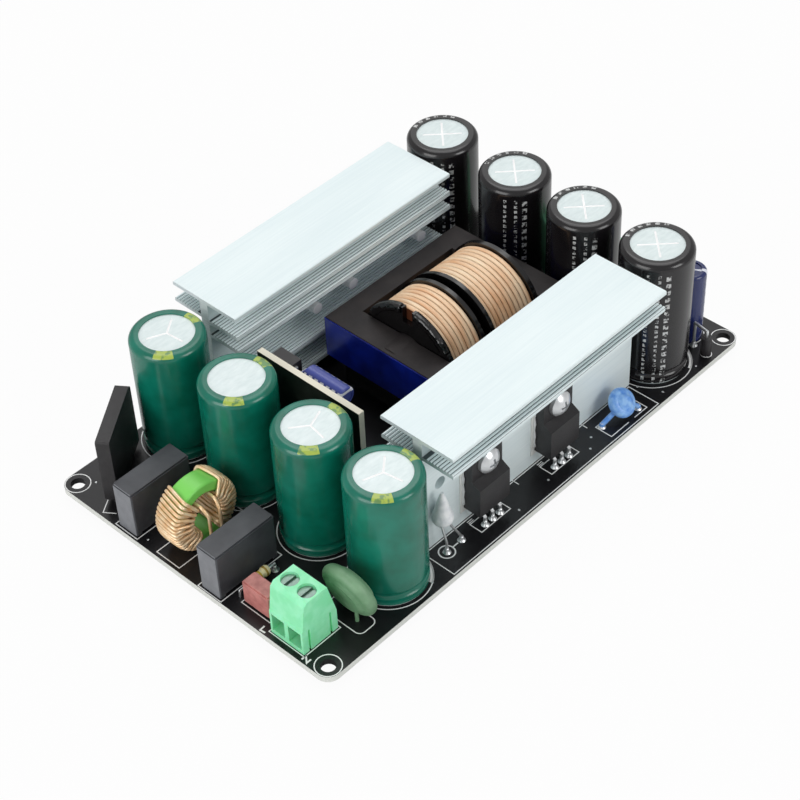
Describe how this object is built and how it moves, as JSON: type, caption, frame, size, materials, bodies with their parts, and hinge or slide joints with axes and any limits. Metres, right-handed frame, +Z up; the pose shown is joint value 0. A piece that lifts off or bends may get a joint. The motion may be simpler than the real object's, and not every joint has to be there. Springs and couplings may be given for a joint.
{
  "type": "open frame power supply",
  "caption": "Bare open frame power supply board with finned aluminium heatsinks along both sides, a flat-lying transformer between them and screw terminals at the ends.",
  "frame": {"origin": "centre of the four mounting holes, on the underside of the circuit board", "axes": "+X along the board from the mains input end to the output end, +Z up from the board towards the components"},
  "size_m": [0.1456, 0.0895, 0.0398],
  "materials": {
    "solder_mask": "glossy black solder mask over glass laminate",
    "terminal_green": "moulded, slightly translucent pale green",
    "terminal_screw": "nickel plated slotted screw",
    "terminal_clamp": "tin plated brass",
    "fuse": "moulded dull red",
    "inrush_coating": "grey green coating",
    "resistor_body": "lacquered with colour bands",
    "box_capacitor": "grey moulded box",
    "ring_coating": "bright green enamel on a ring core",
    "choke_wire": "enamelled copper",
    "epoxy": "moulded black epoxy",
    "can_aluminium": "drawn aluminium",
    "green_sleeve": "shrunk dark green film",
    "black_sleeve": "shrunk black film",
    "heatsink": "bare extruded aluminium",
    "transistor_body": "moulded black epoxy, tinned leads",
    "pad": "soft white silicone sheet",
    "screw_steel": "bright zinc plated cross-recess screw",
    "ferrite": "sintered dark grey ferrite",
    "tape": "smooth blue polyester tape",
    "bobbin": "moulded black phenolic",
    "transformer_wire": "enamelled copper under clear tape",
    "control_laminate": "dark solder mask over cream laminate",
    "control_sleeve": "shrunk blue film",
    "chip_body": "moulded black epoxy, tinned leads",
    "bead": "pale grey coating",
    "blue_coating": "dipped blue coating",
    "blue_sleeve": "shrunk dark blue film",
    "diode_body": "moulded black epoxy, tinned leads",
    "solder": "tin solder"
  },
  "bodies": {
    "root": {"circuit_board": "solder_mask", "input_terminal_housing": "terminal_green", "output_terminal_housing": "terminal_green", "terminal_screws": "terminal_screw", "terminal_clamps": "terminal_clamp", "input_fuse": "fuse", "inrush_disc": "inrush_coating", "bleed_resistor": "resistor_body", "x_capacitor_1": "box_capacitor", "x_capacitor_2": "box_capacitor", "choke_core": "ring_coating", "choke_winding_1": "choke_wire", "choke_winding_2": "choke_wire", "bridge_rectifier": "epoxy", "bulk_can_1": "can_aluminium", "bulk_can_2": "can_aluminium", "bulk_can_3": "can_aluminium", "bulk_can_4": "can_aluminium", "bulk_sleeve_1": "green_sleeve", "bulk_sleeve_2": "green_sleeve", "bulk_sleeve_3": "green_sleeve", "bulk_sleeve_4": "green_sleeve", "output_can_1": "can_aluminium", "output_can_2": "can_aluminium", "output_can_3": "can_aluminium", "output_can_4": "can_aluminium", "output_sleeve_1": "black_sleeve", "output_sleeve_2": "black_sleeve", "output_sleeve_3": "black_sleeve", "output_sleeve_4": "black_sleeve", "primary_heatsink": "heatsink", "output_heatsink": "heatsink", "primary_transistor_1": "transistor_body", "primary_transistor_2": "transistor_body", "primary_transistor_3": "transistor_body", "output_transistor_1": "transistor_body", "output_transistor_2": "transistor_body", "insulating_pads": "pad", "heatsink_screws": "screw_steel", "core_half_1": "ferrite", "core_half_2": "ferrite", "core_tape": "tape", "transformer_bobbin": "bobbin", "transformer_winding_1": "transformer_wire", "transformer_winding_2": "transformer_wire", "control_board": "control_laminate", "control_capacitor": "control_sleeve", "control_chip": "chip_body", "wall_thermistor": "bead", "y_capacitor": "blue_coating", "slim_capacitor": "blue_sleeve", "standing_diode": "diode_body", "solder_joints": "solder"}
  },
  "joints": []
}
